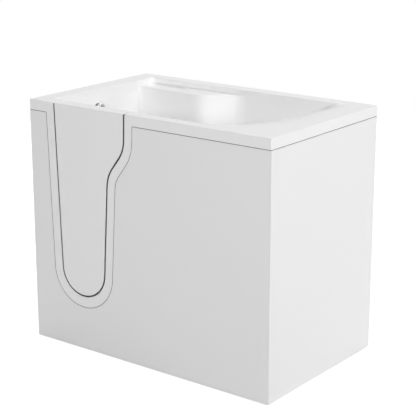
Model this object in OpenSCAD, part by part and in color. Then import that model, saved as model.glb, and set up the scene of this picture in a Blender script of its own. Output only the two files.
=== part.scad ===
// Sit-in bathtub with a boot-shaped door in its front.
// Origin: middle of the footprint, on the floor. X runs along the length, with the door at the -X end,
// the front is at -Y, and Z is up.

/* [Tub] */
// Length of the rim
tub_l = 1050; // [1000:10:1200]
// Width of the rim
tub_w = 650; // [620:10:750]
// Height of the deck above the floor
tub_h = 905; // [880:5:950]
// Thickness of the acrylic
shell_t = 5; // [4:0.5:7]
// Height of the fascia that hangs from the deck
fascia_h = 38; // [30:1:50]
// Radius of the rim's outer edges
rim_r = 3; // [2:0.5:6]
// Radius of the basin's edge at the deck
edge_r = 4; // [2:0.5:8]
// Width of the deck at the left end
deck_left = 72; // [60:1:100]
// Width of the deck along the front, which is also the depth of the door
deck_front = 54; // [50:1:70]
// Width of the deck along the back
deck_back = 52; // [40:1:70]
// Width of the deck beyond the backrest
deck_right = 38; // [30:1:60]
// Length of the soft roll from the deck into the backrest, at the front
roll_l = 170; // [120:5:200]
// Length of the soft roll at the back
roll_back_l = 75; // [50:5:150]
// Drop of the soft roll
roll_drop = 86; // [60:2:120]
// Depth of the back shelf below the deck
shelf_drop = 22; // [12:1:40]
// Width of the back shelf
shelf_w = 86; // [60:1:110]
// Depth of the soap tray in the shelf
tray_drop = 4; // [2:0.5:8]
// Height of the footwell floor
floor_z = 160; // [150:1:175]
// Depth of the seat below the deck
seat_drop = 330; // [305:5:400]
// Distance of the seat's front edge behind the middle of the tub
seat_edge_x = -110; // [-125:1:-100]

/* [Door] */
// Left edge of the door's gap at the deck
door_x = -409.2; // [-420:0.1:-400]
// Width of the door's gap at the deck
door_top_w = 326.7; // [310:0.1:335]
// Width of the door's gap at the height of the sill
door_low_w = 193.3; // [180:0.1:200]
// Lean of the hinged edge: sideways travel from the deck to the sill
door_lean = 24.6; // [0:0.1:30]
// Height of the lowest point of the gap
sill_z = 207.3; // [200:0.1:230]
// Depth below the deck at which the boot's leg ends
step_low_drop = 230; // [215:1:255]
// Depth below the deck at which the boot's wide part starts
step_high_drop = 131; // [115:1:145]
// Width of the gap round the door
door_gap = 5; // [4:0.1:6]
// How far the door's sides draw in from its front to its back
door_draft = 14; // [13:0.5:18]
// Width of the moulded frame round the door
frame_w = 34; // [28:1:40]
// Extra width of the frame below the door
frame_foot = 5; // [0:1:10]
// Thickness of the door seal
seal_t = 4.3; // [3:0.1:4.4]
// Depth of the door seal
seal_d = 9; // [6:1:14]

/* [Hinge and latch] */
// Radius of the hinge's barrel
barrel_r = 2.3; // [2:0.1:2.4]
// Radius of the hinge pin
pin_r = 1.3; // [1:0.1:1.4]
// Depth of the hinge axis behind the door's face
hinge_depth = 4; // [4:0.1:4.4]
// Length of one knuckle
knuckle_l = 40; // [20:5:60]
// Number of knuckles
knuckles = 13; // [7:2:13]
// Thickness of the hinge leaves
leaf_t = 1.2; // [1:0.1:1.5]
// Width of the hinge leaves
leaf_w = 30; // [20:1:36]
// Radius of the bolts
bolt_r = 7; // [5:0.5:8]
// Throw of the bolts
bolt_throw = 18; // [14:1:20]
// Depth of the upper bolt below the deck
bolt_high_drop = 70; // [55:1:85]
// Depth of the lower bolt below the deck
bolt_low_drop = 465; // [405:5:505]
// Distance of the handle's spindle from the hinged edge
handle_in = 190; // [170:1:200]
// Depth of the handle's spindle below the deck
handle_drop = 105; // [95:1:125]
// Length of the handle's lever
lever_l = 110; // [90:1:130]

/* [Panels] */
// Thickness of the panels
panel_t = 5; // [4:0.5:8]
// Gap between the fascia and the panels
panel_gap = 2; // [1:0.5:4]
// Height of the panels above the floor
panel_foot = 3; // [2:1:10]
// Width of the edge that each panel turns back
panel_return = 24; // [15:1:30]

/* [Steel frame] */
// Side of the square tube
tube_s = 25; // [20:1:30]
// Wall of the square tube
tube_wall = 2; // [1.5:0.5:3]
// Height of the base frame's underside
base_z = 62; // [50:1:80]
// Distance of the feet from the ends of the tub
foot_in_x = 59; // [55:1:80]
// Distance of the feet from the front and the back of the tub
foot_in_y = 52; // [50:1:70]
// Radius of a foot pad
pad_r = 22; // [18:1:28]
// Height of a foot pad
pad_h = 9; // [7:1:12]
// Radius of a foot stud
stud_r = 6; // [5:0.5:8]

/* [Waste and overflow] */
// Radius of the overflow knob
knob_r = 22; // [18:1:26]
// Depth of the overflow below the deck
overflow_drop = 71; // [65:1:85]
// Place of the overflow along the end wall
overflow_y = -57; // [-80:1:-20]
// Radius of the overflow pipe
overflow_pipe_r = 12; // [10:0.5:16]
// Place of the waste along the tub
waste_x = -295; // [-310:1:-270]
// Radius of the waste flange
waste_r = 36; // [32:1:42]
// Radius of the waste pipe
pipe_r = 20; // [16:0.5:25]
// Wall of the waste pipe
pipe_wall = 2; // [1.5:0.1:3]
// Lift of the pop-up plug
plug_lift = 8; // [5:1:12]

/* [Hidden] */
$fn = 48;

acrylic = "#f3f4f4";
panel_white = "#eef0f0";
rubber = "#8b8e90";
chrome = "#c9ccd0";
zinc = "#b7bbbf";
board = "#c9a77a";
plastic = "#e4e4e0";
black = "#2b2b2c";

mitre_gap = 0.2;
seat_fit = 0.3;
slip_fit = 0.05;
front_y = -tub_w / 2;
back_y = tub_w / 2;
left_x = -tub_l / 2;
right_x = tub_l / 2;
deck_low = tub_h - shell_t;
fascia_low = tub_h - fascia_h;
panel_top = fascia_low - panel_gap;
seat_z = tub_h - seat_drop;
step_low_z = tub_h - step_low_drop;
step_high_z = tub_h - step_high_drop;
bolt_high_z = tub_h - bolt_high_drop;
bolt_low_z = tub_h - bolt_low_drop;
handle_z = tub_h - handle_drop;
overflow_z = tub_h - overflow_drop;

// Outlines with round corners. A corner is [x, y, ..., t]: its last value is the length along each edge
// at which its arc starts, and 0 keeps the corner sharp. The others give corner_steps + 1 points each,
// so that outlines with the same corners can be lofted.
corner_steps = 7;
function unit(v) = v / norm(v);
function cut_last(v) = [for (i = [0 : len(v) - 2]) v[i]];
function last(v) = v[len(v) - 1];
function wrap(list, i) = list[(i + len(list)) % len(list)];
function arc_point(a, b, c, w, s) =
    ((1 - s) * (1 - s) * a + 2 * s * (1 - s) * w * b + s * s * c)
    / ((1 - s) * (1 - s) + 2 * s * (1 - s) * w + s * s);
function corner_arc(before, at, after, t) =
    let (
        back = unit(before - at),
        on = unit(after - at),
        w = sqrt(max(0, (1 - back * on) / 2))
    )
    t == 0 ? [at]
    : [for (k = [0 : corner_steps]) arc_point(at + t * back, at, at + t * on, w, k / corner_steps)];
function rounded(corners) = [
    for (i = [0 : len(corners) - 1])
        each corner_arc(
            cut_last(wrap(corners, i - 1)), cut_last(corners[i]), cut_last(wrap(corners, i + 1)),
            last(corners[i]))
];

// The same outline moved inwards by s, with its arcs kept parallel
function left_of(v) = [-v[1], v[0]];
function cross2(a, b) = a[0] * b[1] - a[1] * b[0];
function moved_corner(a, b, c, t, s) =
    let (
        u = unit(b - a),
        w = unit(c - b),
        share = 1 + u * w,
        turn = cross2(u, w) / share,
        at = b + (left_of(u) + left_of(w)) * s / share
    )
    [at[0], at[1], t == 0 ? 0 : max(0.5, t - s * turn)];
function inset(corners, s) = [
    for (i = [0 : len(corners) - 1])
        moved_corner(
            cut_last(wrap(corners, i - 1)), cut_last(corners[i]), cut_last(wrap(corners, i + 1)),
            last(corners[i]), s)
];

// A solid lofted through rings with the same number of points. Seen along the way from the first ring
// to the last, they run anticlockwise. The whole of each end can be seen from its first point.
module loft(rings) {
    n = len(rings[0]);
    m = len(rings);
    sides = [
        for (k = [0 : m - 2], i = [0 : n - 1])
            let (a = k * n + i, b = k * n + (i + 1) % n)
            each [[a, b, a + n], [b, b + n, a + n]]
    ];
    first = [0, for (i = [n - 1 : -1 : 1]) i];
    final = [for (i = [0 : n - 1]) (m - 1) * n + i];
    polyhedron(points = [for (r = rings) each r], faces = concat([first], sides, [final]));
}

// A flat outline in the XZ plane, made thick from the depth y0 to the depth y1
module upright(y0, y1) {
    translate([0, y1, 0])
        rotate([90, 0, 0])
            linear_extrude(y1 - y0)
                children();
}

// Bars of the steel frame: square tubes along X and Z, and a channel along Y that is open below
module bar_x(x0, x1, y, z) {
    translate([x0, y - tube_s / 2, z])
        difference() {
            cube([x1 - x0, tube_s, tube_s]);
            translate([-1, tube_wall, tube_wall])
                cube([x1 - x0 + 2, tube_s - 2 * tube_wall, tube_s - 2 * tube_wall]);
        }
}
module channel_y(x, y0, y1, z) {
    translate([x - tube_s / 2, y0, z])
        difference() {
            cube([tube_s, y1 - y0, tube_s]);
            translate([tube_wall, -1, -1])
                cube([tube_s - 2 * tube_wall, y1 - y0 + 2, tube_s - tube_wall + 1]);
        }
}
module post(x, y, z0, z1) {
    translate([x - tube_s / 2, y - tube_s / 2, z0])
        difference() {
            cube([tube_s, tube_s, z1 - z0]);
            translate([tube_wall, tube_wall, -1])
                cube([tube_s - 2 * tube_wall, tube_s - 2 * tube_wall, z1 - z0 - tube_wall + 1]);
        }
}
module rod_x(x0, x1, y, z, r) {
    translate([x0, y, z])
        rotate([0, 90, 0])
            cylinder(h = x1 - x0, r = r);
}
module rod_y(x, y0, y1, z, r) {
    translate([x, y0, z])
        rotate([-90, 0, 0])
            cylinder(h = y1 - y0, r = r);
}
module rod_z(x, y, z0, z1, r) {
    translate([x, y, z0])
        cylinder(h = z1 - z0, r = r);
}

// The basin, from the deck down to the footwell floor. Every ring has six corners:
// front left, front right, back right, shelf right, shelf left, back left.
in_left = left_x + deck_left;
in_front = front_y + deck_front;
in_back = back_y - deck_back;
in_right = right_x - deck_right;
shelf_y = in_back - shelf_w;
shelf_z = tub_h - shelf_drop;
shelf_fillet = 5;
shelf_step_right = -24;
shelf_step_left = -150;
end_round = 165;
end_bulge = 14;
end_slant = 18;
front_arc = 12;
back_arc = 34;
shelf_arc = 30;
left_arc = 14;
wall_draft = 12;
sill_depth = 26;
wall_left = in_left + wall_draft;
backrest_run = 43;
backrest_x = in_right - roll_l - backrest_run;
function roll_x(a) = in_right - roll_l * sin(a);
function roll_back_x(a) = in_right - end_slant - roll_back_l * sin(a);
function roll_z(a) = tub_h - roll_drop * (1 - cos(a));

// A ring of the upper basin: height of the walls, distance outside the basin's edge, line of the back wall
// beside the footwell, line of the left wall, place of the right end at the front and at the back, its height,
// the arc that turns into it, and wall thickness
function upper_ring(z, out, shelf, left, end_x, end_back_x, end_z, end_t, g) = [
    [left - out - g, in_front - out - g, z - g, front_arc],
    [end_x + g, in_front - end_bulge * end_t / end_round - out - g, end_z - g, end_t],
    [end_back_x + g, in_back + out + g, end_z - g, back_arc],
    [shelf_step_right, in_back + out + g, z - g, shelf_arc],
    [shelf_step_left, shelf + out + g, z - g, shelf_arc],
    [left - out - g, shelf + out + g, z - g, left_arc]
];
function rolled_ring(z, out, shelf, draft, a, end_t, g) =
    upper_ring(z, out, shelf, in_left + draft, roll_x(a), roll_back_x(a), roll_z(a), end_t, g);

// A ring round the footwell, with the same six corners: height of the walls, draft, place and height
// of the side below the seat's edge, arc, and wall thickness
riser_arc = 24;
riser_turn = [60, 130];
function lower_ring(z, draft, end_x, end_z, t, g) = [
    [wall_left + draft - g, in_front + draft - g, z - g, t],
    [end_x + g, in_front + draft - g, end_z - g, t],
    [end_x + g, shelf_y - draft + g, end_z - g, min(t, riser_arc)],
    [end_x - riser_turn[0] + g, shelf_y - draft + g, z - g, front_arc],
    [end_x - riser_turn[1] + g, shelf_y - draft + g, z - g, shelf_arc],
    [wall_left + draft - g, shelf_y - draft + g, z - g, t]
];

// The seat's surface, and the rise and the draw of the rings over and under it
seat_over = [90, 30];
seat_draw = [3, 4, 10];
seat_tilt = 10;
seat_front_r = 15;
seat_arcs = [110, 95, 80];
floor_draft = 42;
floor_r = 18;
riser_lean = 64;
floor_end_x = seat_edge_x - riser_lean;
function basin_rings(g) = [
    rolled_ring(tub_h, edge_r, in_back, 0, 0, end_round, g),
    rolled_ring(tub_h - edge_r * 0.3, edge_r * 0.3, in_back, 0, 14, end_round, g),
    rolled_ring(tub_h - edge_r, 0, in_back, 0, 26, end_round, g),
    rolled_ring(shelf_z + shelf_fillet, 0, in_back, wall_draft / 3, 38, end_round * 0.97, g),
    rolled_ring(shelf_z, 0, in_back - shelf_fillet, wall_draft / 2, 50, end_round * 0.94, g),
    rolled_ring(shelf_z, 0, shelf_y + shelf_fillet, wall_draft * 0.8, 63, end_round * 0.91, g),
    rolled_ring(shelf_z - shelf_fillet, 0, shelf_y, wall_draft, 76, end_round * 0.85, g),
    rolled_ring(tub_h - roll_drop, 0, shelf_y, wall_draft, 90, end_round * 0.79, g),
    upper_ring(seat_z + seat_over[0], -seat_draw[0], shelf_y, wall_left,
        backrest_x, backrest_x + 2 * end_slant, seat_z + seat_over[0], seat_arcs[0], g),
    upper_ring(seat_z + seat_over[1], -seat_draw[1], shelf_y, wall_left,
        backrest_x - end_slant, backrest_x - end_slant, seat_z + seat_over[1] + seat_tilt, seat_arcs[1], g),
    upper_ring(seat_z, -seat_draw[2], shelf_y, wall_left,
        backrest_x - 3 * end_slant, backrest_x - 4 * end_slant, seat_z + seat_tilt, seat_arcs[2], g),
    lower_ring(seat_z - seat_front_r, seat_draw[2], seat_edge_x, seat_z, 2 * front_arc + seat_tilt, g),
    lower_ring(seat_z - 2 * seat_front_r, seat_draw[2] + 1, seat_edge_x - 20, seat_z - 9, shelf_arc + 2, g),
    lower_ring(seat_z - 4 * seat_front_r, seat_draw[2] + 2, seat_edge_x - 28, seat_z - 40, shelf_arc, g),
    lower_ring(floor_z + 3 * floor_r, floor_draft * 0.38, floor_end_x + 26, floor_z + 3 * floor_r, shelf_arc, g),
    lower_ring(floor_z + floor_r, floor_draft * 0.52, floor_end_x + 20, floor_z + floor_r, shelf_arc, g),
    lower_ring(floor_z, floor_draft, floor_end_x, floor_z, riser_arc, g)
];
module basin(g, top) {
    rings = [for (r = basin_rings(g)) rounded(r)];
    lid = [for (p = rings[0]) [p[0], p[1], top]];
    loft(concat([lid], rings));
}

// The door's outline in the XZ plane, along the middle of the gap, anticlockwise from the top left.
// It leans with the hinged edge on the left, and has the boot's step on the right.
door_foot_x = door_x + door_lean;
door_right_x = door_x + door_top_w;
leg_lean = 28.5;
top_lean = 4;
step_t = 38;
door_foot_t = door_low_w / 2 - 0.5;
door_edge = 4;
door_corners = [
    [door_x, tub_h, 0],
    [door_foot_x, sill_z, door_foot_t],
    [door_foot_x + door_low_w, sill_z, door_foot_t],
    [door_foot_x + door_low_w + leg_lean, step_low_z, step_t],
    [door_right_x - top_lean, step_high_z, step_t],
    [door_right_x, tub_h, 0]
];
function at_height(a, b, z) = a[0] + (b[0] - a[0]) * (z - a[1]) / (b[1] - a[1]);
function door_outline(s, top, foot = 0) =
    let (c = inset(door_corners, s))
    rounded([
        [at_height(c[0], c[1], top), top, 0],
        c[1] - [0, foot, 0],
        c[2] - [0, foot, 0],
        c[3],
        c[4],
        [at_height(c[5], c[4], top), top, 0]
    ]);

// The door's side and the jamb's face, as distances inside the middle of the gap at the depth y
slope = door_draft / deck_front;
function door_side(y) = door_gap / 2 + slope * (y - front_y);
function jamb_side(y) = -door_gap / 2 + slope * (y - front_y);

// A solid through door outlines: each section is [distance inside the gap's middle, depth, drop of the top]
module door_solid(sections, top) {
    loft([for (s = sections) [for (p = door_outline(s[0], top - (len(s) > 2 ? s[2] : 0))) [p[0], s[1], p[1]]]]);
}
function round_edge(sign) = [
    for (a = [0, 45, 90])
        let (y = front_y + door_edge * (1 - cos(a)))
        [
            (sign > 0 ? door_side(y) : jamb_side(y)) + sign * door_edge * (1 - sin(a)),
            y,
            sign > 0 ? rim_r * (1 - sin(a)) : 0
        ]
];
function door_section(y, more = 0) = [door_side(y) + more, y];
function jamb_section(y, more = 0) = [jamb_side(y) + more, y];
door_mid_y = front_y + deck_front / 2;
jamb_end_y = in_front + sill_depth;

// Where the bolts leave the door, on the right side of its middle plane
function bolt_edge_x(z) =
    let (
        c = inset(door_corners, door_side(door_mid_y)),
        a = z > step_high_z ? c[5] : c[3],
        b = z > step_high_z ? c[4] : c[2]
    )
    at_height(a, b, z);
bolt_l = 50;
bolt_set_back = 1;
sleeve_l = 40;
sleeve_wall = 3;
keeper_wall = 3;
keeper_in = 3;
keeper_l = bolt_throw - bolt_set_back - door_gap + keeper_wall;
keeper_clear = 0.5;
bolt_heights = [bolt_high_z, bolt_low_z];
keeper_r = bolt_r + keeper_clear + keeper_wall;

// The hinge's own frame: its origin is on the pin's axis at the deck, and its Z runs up along the leaning edge
lean_angle = atan(door_lean / (tub_h - sill_z));
draft_angle = atan(slope);
hinge_top = 40;
knuckle_gap = 0.3;
half_gap = door_gap / 2 * cos(draft_angle);
module on_hinge() {
    translate([door_x + slope * hinge_depth / cos(lean_angle), front_y + hinge_depth, tub_h])
        rotate([0, -lean_angle, 0])
            rotate([0, 0, -draft_angle])
                children();
}
module hinge_leaf(first, side) {
    pitch = knuckle_l + knuckle_gap;
    length = knuckles * pitch - knuckle_gap;
    leaf_x = side > 0 ? half_gap - leaf_t - slip_fit : -half_gap + slip_fit;
    on_hinge()
        difference() {
            union() {
                for (k = [first : 2 : knuckles - 1]) {
                    translate([0, 0, -hinge_top - k * pitch - knuckle_l]) {
                        cylinder(h = knuckle_l, r = barrel_r);
                        translate([leaf_x, 0, 0])
                            cube([leaf_t, barrel_r + 1, knuckle_l]);
                    }
                }
                translate([leaf_x, barrel_r + 0.4, -hinge_top - length])
                    cube([leaf_t, leaf_w, length]);
            }
            translate([0, 0, -hinge_top - length - 1])
                cylinder(h = length + 2, r = pin_r + slip_fit);
        }
}

// The soap tray in the left part of the shelf, and the drip hole beside it
tray_in = 8;
tray_right = [-238, -282];
drip_x = -197;
drip_r = 4;
module tray(grow, low) {
    translate([0, 0, low])
        linear_extrude(tub_h - low)
            offset(r = tray_in + grow)
                offset(delta = -2 * tray_in)
                    polygon([
                        [in_left + wall_draft, shelf_y],
                        [tray_right[0] + tray_in, shelf_y],
                        [tray_right[1] + tray_in, in_back],
                        [in_left + wall_draft, in_back]
                    ]);
}

// The rim is a slab with round edges: each ring is [distance inside the outer edge, height]
rim_arc = 2;
rim_steps = [0, 30, 60, 90];
function rim_ring(s, z) =
    let (x = tub_l / 2 - s, y = tub_w / 2 - s)
    [for (p = rounded([[-x, -y, rim_arc], [x, -y, rim_arc], [x, y, rim_arc], [-x, y, rim_arc]])) [p[0], p[1], z]];
module rim() {
    loft(concat(
        [for (a = rim_steps) rim_ring(rim_r * (1 - sin(a)), tub_h - rim_r * (1 - cos(a)))],
        [rim_ring(0, fascia_low + rim_r / 3), rim_ring(rim_r / 3, fascia_low)]));
}

// The shell: deck, fascia, basin and the moulded frame with its jamb, in one piece
overflow_hole_r = 14;
waste_hole_r = 22;
module tub_shell() {
    color(acrylic)
        difference() {
            union() {
                difference() {
                    rim();
                    translate([0, 0, fascia_low + fascia_h / 2 - shell_t])
                        cube([tub_l - 2 * shell_t, tub_w - 2 * shell_t, fascia_h], center = true);
                }
                basin(shell_t, deck_low + shell_t / 2);
                tray(shell_t, shelf_z - tray_drop - shell_t);
                upright(front_y, front_y + shell_t)
                    polygon(door_outline(-frame_w - door_gap / 2, fascia_low + 1, frame_foot));
                door_solid([jamb_section(front_y + 1, -shell_t), jamb_section(jamb_end_y - 1, -shell_t)], deck_low + 1);
            }
            basin(0, tub_h + 1);
            tray(0, shelf_z - tray_drop);
            rod_z(drip_x, (in_back + shelf_y) / 2 + 3 * tray_in / 2, shelf_z - shell_t - 1, tub_h, drip_r);
            door_solid(concat([[jamb_side(front_y) - door_edge, front_y - 1]], round_edge(-1),
                [jamb_section(jamb_end_y)]), tub_h + 1);
            rod_x(wall_left - 20, wall_left + 20, overflow_y, overflow_z, overflow_hole_r);
            rod_z(waste_x, waste_y, floor_z - 20, floor_z + 20, waste_hole_r);
            for (z = bolt_heights)
                rod_x(bolt_edge_x(z), bolt_edge_x(z) + door_gap + shell_t + keeper_l, door_mid_y, z, keeper_r + seat_fit);
        }
}

// The door's two halves are trays that meet in its middle plane
module bolt_ways(r) {
    for (z = bolt_heights)
        rod_x(bolt_edge_x(z) - bolt_l - bolt_set_back - 2, bolt_edge_x(z) + door_gap, door_mid_y, z, r);
}
module door_outer() {
    color(acrylic)
        difference() {
            door_solid(concat(round_edge(1), [door_section(door_mid_y)]), tub_h);
            door_solid([door_section(front_y + shell_t, shell_t), door_section(door_mid_y + 1, shell_t)], deck_low);
            bolt_ways(bolt_r + seat_fit);
        }
}
module door_inner() {
    color(acrylic)
        difference() {
            door_solid([door_section(door_mid_y), door_section(in_front)], tub_h);
            door_solid([door_section(door_mid_y - 1, shell_t), door_section(in_front - shell_t, shell_t)], deck_low);
            bolt_ways(bolt_r + seat_fit);
            rod_y(handle_x, in_front - 20, in_front + 5, handle_z, spindle_r + seat_fit);
        }
}
module door_core() {
    fit = shell_t + seat_fit;
    color(board)
        difference() {
            door_solid([door_section(front_y + fit, fit), door_section(in_front - fit, fit)], tub_h - fit);
            bolt_ways(bolt_r + sleeve_wall + seat_fit);
            rod_y(handle_x, in_front - spindle_in - shell_t, in_front, handle_z, spindle_r + seat_fit);
        }
}
seal_back = 7;
module door_seal() {
    y1 = in_front - seal_back;
    y0 = y1 - seal_d;
    color(rubber)
        difference() {
            door_solid([door_section(y0, -seal_t), door_section(y1, -seal_t)], tub_h - door_gap);
            door_solid([door_section(y0 - 1), door_section(y1 + 1)], tub_h);
        }
}

module hinge_leaf_frame() {
    color(zinc)
        hinge_leaf(0, -1);
}
module hinge_leaf_door() {
    color(zinc)
        hinge_leaf(1, 1);
}
module hinge_pin() {
    length = knuckles * (knuckle_l + knuckle_gap) - knuckle_gap;
    color(chrome)
        on_hinge()
            translate([0, 0, -hinge_top - length])
                cylinder(h = length, r = pin_r);
}

// The latch: a lever on the door's inner face draws two bolts
handle_x = door_x + handle_in;
spindle_r = 6;
rosette_r = 26;
rosette_t = 4;
lever_r = 7;
lever_out = 34;
spindle_in = 35;
module latch_handle() {
    lever_y = in_front + lever_out;
    color(chrome)
        union() {
            rod_y(handle_x, in_front - spindle_in, lever_y, handle_z, spindle_r);
            rod_y(handle_x, in_front + rosette_t + seat_fit, lever_y, handle_z, lever_r + 3);
            translate([handle_x, lever_y - lever_r, handle_z - lever_l])
                cylinder(h = lever_l, r = lever_r);
            translate([handle_x, lever_y - lever_r, handle_z - lever_l])
                sphere(r = lever_r);
            translate([handle_x, lever_y - lever_r, handle_z])
                sphere(r = lever_r + 3);
        }
}
module latch_rosette() {
    color(chrome)
        difference() {
            rod_y(handle_x, in_front, in_front + rosette_t, handle_z, rosette_r);
            rod_y(handle_x, in_front - 1, in_front + rosette_t + 1, handle_z, spindle_r + slip_fit);
        }
}
module bolt(z) {
    nose = bolt_r / 2;
    color(zinc)
        translate([bolt_edge_x(z) - bolt_set_back - bolt_l, door_mid_y, z])
            rotate([0, 90, 0])
                rotate_extrude()
                    polygon([[0, 0], [bolt_r, 0], [bolt_r, bolt_l - nose], [nose, bolt_l], [0, bolt_l]]);
}
module upper_bolt() {
    bolt(bolt_high_z);
}
module lower_bolt() {
    bolt(bolt_low_z);
}
module bolt_guides() {
    color(plastic)
        for (z = bolt_heights) {
            end = bolt_edge_x(z) - shell_t - bolt_r;
            difference() {
                rod_x(end - sleeve_l + bolt_r, end, door_mid_y, z, bolt_r + sleeve_wall);
                rod_x(end - sleeve_l, end + 1, door_mid_y, z, bolt_r + slip_fit);
            }
        }
}
module bolt_keepers() {
    color(zinc)
        for (z = bolt_heights) {
            start = bolt_edge_x(z) + door_gap + keeper_in;
            difference() {
                rod_x(start, start + keeper_l, door_mid_y, z, keeper_r);
                rod_x(start - 1, start + keeper_l - keeper_wall, door_mid_y, z, bolt_r + keeper_clear);
            }
        }
}

// The panels: sheets with their edges turned back, mitred at the front right corner
frame_joint = 1.8;
module front_panel() {
    outline = [
        [left_x, front_y],
        [right_x, front_y],
        [right_x - panel_t, front_y + panel_t],
        [left_x, front_y + panel_t]
    ];
    color(panel_white)
        difference() {
            union() {
                translate([0, 0, panel_foot])
                    linear_extrude(panel_top - panel_foot)
                        polygon(outline);
                translate([left_x, front_y + panel_t / 2, panel_foot])
                    cube([tub_l - 2 * panel_t, panel_return, panel_t]);
                translate([left_x, front_y + panel_t / 2, panel_foot])
                    cube([panel_t, panel_return, panel_top - panel_foot]);
            }
            upright(front_y - 1, front_y + panel_t + panel_return)
                polygon(door_outline(-frame_w - door_gap / 2 - frame_joint, tub_h, frame_foot));
        }
}
module side_panel() {
    outline = [
        [right_x, front_y + mitre_gap],
        [right_x, back_y],
        [right_x - panel_t, back_y],
        [right_x - panel_t, front_y + panel_t + mitre_gap]
    ];
    color(panel_white)
        union() {
            translate([0, 0, panel_foot])
                linear_extrude(panel_top - panel_foot)
                    polygon(outline);
            translate([right_x - panel_return, front_y + panel_t + panel_return, panel_foot])
                cube([panel_return - panel_t / 2, tub_w - panel_t - panel_return, panel_t]);
            translate([right_x - panel_return, back_y - panel_t, panel_foot])
                cube([panel_return - panel_t / 2, panel_t, panel_top - panel_foot]);
        }
}
clip_w = 30;
clip_low = 30;
module panel_brackets() {
    color(zinc) {
        for (x = [base_left + 60, -20, base_right - 60])
            translate([x - clip_w / 2, front_y + panel_t, clip_low])
                cube([clip_w, base_front - front_y - panel_t, base_top - clip_low]);
        for (y = [base_front + 120, base_back - 120])
            translate([foot_x[1] + tube_s / 2, y - clip_w / 2, clip_low])
                cube([foot_in_x - tube_s / 2 - panel_t, clip_w, base_top - clip_low]);
    }
}

// The steel frame under the basin
frame_clear = 7;
base_left = left_x + frame_clear;
base_right = right_x - frame_clear;
base_front = front_y + frame_clear;
base_back = back_y - frame_clear;
base_top = base_z + tube_s;
rail_front_y = base_front + tube_s / 2;
rail_back_y = base_back - tube_s / 2;
weld_front_y = rail_front_y + (tube_s - tube_wall) / 2;
weld_back_y = rail_back_y - (tube_s - tube_wall) / 2;
end_left_x = base_left + tube_s / 2;
end_right_x = base_right - tube_s / 2;
seat_post_in = 55;
seat_post_span = 235;
seat_post_x = [seat_edge_x + seat_post_in, seat_edge_x + seat_post_in + seat_post_span];
foot_x = [left_x + foot_in_x, right_x - foot_in_x];
foot_y = [front_y + foot_in_y, back_y - foot_in_y];
module base_frame() {
    color(zinc)
        difference() {
            union() {
                for (y = [rail_front_y, rail_back_y])
                    bar_x(base_left, base_right, y, base_z);
                for (x = concat(foot_x, seat_post_x))
                    channel_y(x, weld_front_y, weld_back_y, base_z);
            }
            for (x = foot_x, y = foot_y)
                rod_z(x, y, base_top - tube_wall - 1, base_top + 1, stud_r + seat_fit);
        }
}

// Four uprights carry a ring of rails under the deck, broken where the door opens
module top_frame() {
    rail_z = deck_low - tube_s;
    door_left = door_x - door_gap / 2 - shell_t - 4;
    door_right = door_right_x + door_gap / 2 + shell_t + 4;
    color(zinc)
        union() {
            for (x = [end_left_x, end_right_x], y = [rail_front_y, rail_back_y])
                post(x, y, base_top, rail_z);
            bar_x(base_left, door_left, rail_front_y, rail_z);
            bar_x(door_right, base_right, rail_front_y, rail_z);
            bar_x(base_left, base_right, rail_back_y, rail_z);
            for (x = [end_left_x, end_right_x])
                channel_y(x, weld_front_y, weld_back_y, rail_z);
        }
}

board_t = 15;
board_clear = 3;
board_bed = 6;
board_lap = 12;
seat_post_in_y = 90;
bearer_in = [120, 190];
seat_board_top = seat_z - shell_t - board_bed;
seat_board_low = seat_board_top - board_t;
floor_board_top = floor_z - shell_t;
floor_board_low = floor_board_top - board_t;
seat_post_y = [rail_front_y + seat_post_in_y, rail_back_y - seat_post_in_y];
bearer_y = [rail_front_y + bearer_in[0], rail_back_y - bearer_in[1]];
// The seat stands on two portals
module seat_supports() {
    color(zinc)
        for (x = seat_post_x)
            union() {
                for (y = seat_post_y)
                    post(x, y, base_top, seat_board_low - tube_s);
                channel_y(x, seat_post_y[0] - tube_s, seat_post_y[1] + tube_s, seat_board_low - tube_s);
            }
}
// The footwell rests on two tubes that lie across the base frame
module floor_bearers() {
    start = foot_x[0] - tube_s / 2;
    length = seat_post_x[0] + tube_s / 2 - start;
    height = floor_board_low - base_top;
    color(zinc)
        for (y = bearer_y)
            translate([start, y - tube_s / 2, base_top])
                difference() {
                    cube([length, tube_s, height]);
                    translate([-1, tube_wall, tube_wall])
                        cube([length + 2, tube_s - 2 * tube_wall, height - 2 * tube_wall]);
                }
}
module floor_board() {
    x0 = wall_left + floor_draft + 8;
    y0 = in_front + floor_draft + 8;
    y1 = shelf_y - floor_draft - 8;
    color(board)
        difference() {
            translate([x0, y0, floor_board_low])
                cube([floor_end_x - riser_arc - x0, y1 - y0, board_t]);
            rod_z(waste_x, waste_y, floor_board_low - 1, floor_board_top + 1, body_r + 3);
        }
}
module seat_board() {
    x0 = seat_post_x[0] - board_lap;
    y0 = seat_post_y[0] - tube_s - board_clear;
    color(board)
        translate([x0, y0, seat_board_low])
            cube([seat_post_x[1] + board_lap - x0, seat_post_y[1] + tube_s + board_clear - y0, board_t]);
}

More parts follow.
